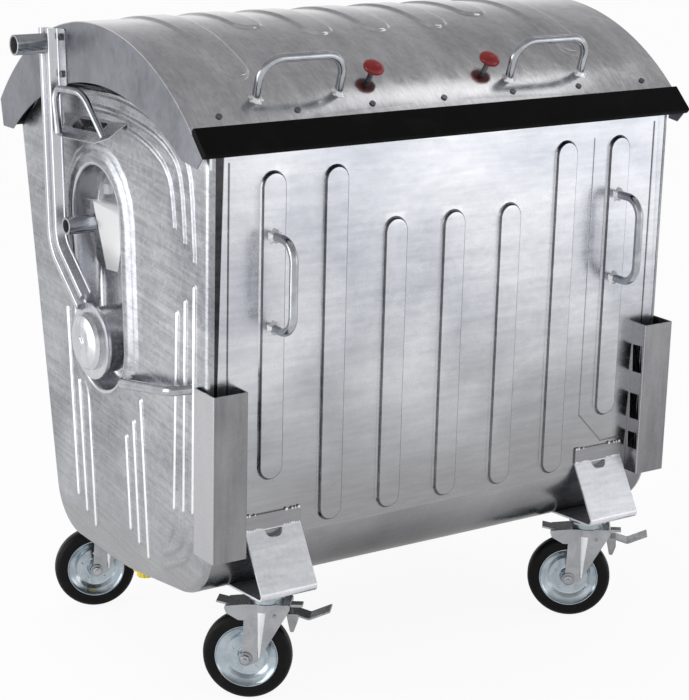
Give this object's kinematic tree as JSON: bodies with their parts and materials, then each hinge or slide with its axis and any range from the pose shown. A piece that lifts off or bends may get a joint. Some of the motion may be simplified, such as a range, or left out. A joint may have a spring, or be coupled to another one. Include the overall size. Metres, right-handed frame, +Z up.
{
  "type": "wheeled waste container",
  "caption": "Galvanised steel waste container on swivel casters, with a domed lid that swings back on side arms and trunnions for emptying by a truck.",
  "frame": {"origin": "on the floor, at the middle of the overall box", "axes": "+X along the width to the right seen from the front, -Y out of the ribbed front, +Z up"},
  "size_m": [1.49, 1.025, 1.4729],
  "materials": {
    "galvanised": "hot dip galvanised",
    "bar_steel": "galvanised, smooth",
    "zinc_plated": "bright zinc",
    "strip_rubber": "matt black",
    "tyre_rubber": "solid black rubber",
    "red_plastic": "gloss red",
    "yellow_plastic": "satin yellow"
  },
  "bodies": {
    "tub": {"caster_bracket_front_left": "zinc_plated", "caster_bracket_front_right": "zinc_plated", "caster_bracket_rear_left": "zinc_plated", "caster_bracket_rear_right": "zinc_plated", "caster_plates": "zinc_plated", "corner_channel_left": "galvanised", "corner_channel_right": "galvanised", "drain_plug": "yellow_plastic", "floor_pan": "galvanised", "front_handle_left": "bar_steel", "front_handle_right": "bar_steel", "front_rim": "galvanised", "front_wall": "galvanised", "pivot_pin_left": "bar_steel", "pivot_pin_right": "bar_steel", "rear_wall": "galvanised", "recess_pan_left": "galvanised", "recess_pan_right": "galvanised", "side_grab_bar_left": "bar_steel", "side_grab_bar_right": "bar_steel", "side_handle_left": "bar_steel", "side_handle_right": "bar_steel", "side_panel_left": "galvanised", "side_panel_right": "galvanised", "side_shelf_left": "galvanised", "side_shelf_right": "galvanised", "trunnion_bracket_left": "galvanised", "trunnion_bracket_right": "galvanised", "trunnion_left": "bar_steel", "trunnion_right": "bar_steel"},
    "lid": {"front_strip": "strip_rubber", "hub_cap_left": "galvanised", "hub_cap_right": "galvanised", "lid_arm_left": "galvanised", "lid_arm_right": "galvanised", "lid_dome": "galvanised", "lid_end_left": "galvanised", "lid_end_right": "galvanised", "lid_handle_left": "bar_steel", "lid_handle_right": "bar_steel", "lid_rear_lip": "galvanised", "lid_rivets": "bar_steel", "lid_stub_left": "bar_steel", "lid_stub_right": "bar_steel"},
    "knob_left": {"lid_knob_left": "red_plastic"},
    "knob_right": {"lid_knob_right": "red_plastic"},
    "fork_front_left": {"caster_fork_front_left": "zinc_plated"},
    "wheel_front_left": {"wheel_rim_front_left": "zinc_plated", "wheel_tyre_front_left": "tyre_rubber"},
    "pedal_front_left": {"brake_pedal_front_left": "zinc_plated"},
    "fork_front_right": {"caster_fork_front_right": "zinc_plated"},
    "wheel_front_right": {"wheel_rim_front_right": "zinc_plated", "wheel_tyre_front_right": "tyre_rubber"},
    "pedal_front_right": {"brake_pedal_front_right": "zinc_plated"},
    "fork_rear_left": {"caster_fork_rear_left": "zinc_plated"},
    "wheel_rear_left": {"wheel_rim_rear_left": "zinc_plated", "wheel_tyre_rear_left": "tyre_rubber"},
    "fork_rear_right": {"caster_fork_rear_right": "zinc_plated"},
    "wheel_rear_right": {"wheel_rim_rear_right": "zinc_plated", "wheel_tyre_rear_right": "tyre_rubber"}
  },
  "joints": [
    {"name": "lid_swing", "type": "hinge", "parent": "tub", "child": "lid", "pos_m": [0, 0.0755, 0.756], "axis": [-1, 0, 0], "range_deg": [0, 85]},
    {"name": "knob_left_push", "type": "slide", "parent": "lid", "child": "knob_left", "axis": [0, 0.6004, -0.7997], "range_m": [0, 0.01], "stiffness_N_per_m": 600, "springref_m": -0.004},
    {"name": "knob_right_push", "type": "slide", "parent": "lid", "child": "knob_right", "axis": [0, 0.6004, -0.7997], "range_m": [0, 0.01], "stiffness_N_per_m": 600, "springref_m": -0.004},
    {"name": "swivel_front_left", "type": "hinge", "parent": "tub", "child": "fork_front_left", "pos_m": [-0.458, -0.3525, 0.2], "axis": [0, 0, 1], "continuous": true},
    {"name": "roll_front_left", "type": "hinge", "parent": "fork_front_left", "child": "wheel_front_left", "pos_m": [-0.49247, -0.32358, 0.1], "axis": [0.6428, 0.766, 0], "continuous": true},
    {"name": "brake_front_left", "type": "hinge", "parent": "fork_front_left", "child": "pedal_front_left", "pos_m": [-0.44191, -0.366, 0.2], "axis": [0.6428, 0.766, 0], "range_deg": [0, 12]},
    {"name": "swivel_front_right", "type": "hinge", "parent": "tub", "child": "fork_front_right", "pos_m": [0.458, -0.3525, 0.2], "axis": [0, 0, 1], "continuous": true},
    {"name": "roll_front_right", "type": "hinge", "parent": "fork_front_right", "child": "wheel_front_right", "pos_m": [0.42353, -0.32358, 0.1], "axis": [0.6428, 0.766, 0], "continuous": true},
    {"name": "brake_front_right", "type": "hinge", "parent": "fork_front_right", "child": "pedal_front_right", "pos_m": [0.47409, -0.366, 0.2], "axis": [0.6428, 0.766, 0], "range_deg": [0, 12]},
    {"name": "swivel_rear_left", "type": "hinge", "parent": "tub", "child": "fork_rear_left", "pos_m": [-0.458, 0.3875, 0.2], "axis": [0, 0, 1], "continuous": true},
    {"name": "roll_rear_left", "type": "hinge", "parent": "fork_rear_left", "child": "wheel_rear_left", "pos_m": [-0.50029, 0.40289, 0.1], "axis": [0.342, 0.9397, 0], "continuous": true},
    {"name": "swivel_rear_right", "type": "hinge", "parent": "tub", "child": "fork_rear_right", "pos_m": [0.458, 0.3875, 0.2], "axis": [0, 0, 1], "continuous": true},
    {"name": "roll_rear_right", "type": "hinge", "parent": "fork_rear_right", "child": "wheel_rear_right", "pos_m": [0.41903, 0.41, 0.1], "axis": [0.5, 0.866, 0], "continuous": true}
  ]
}
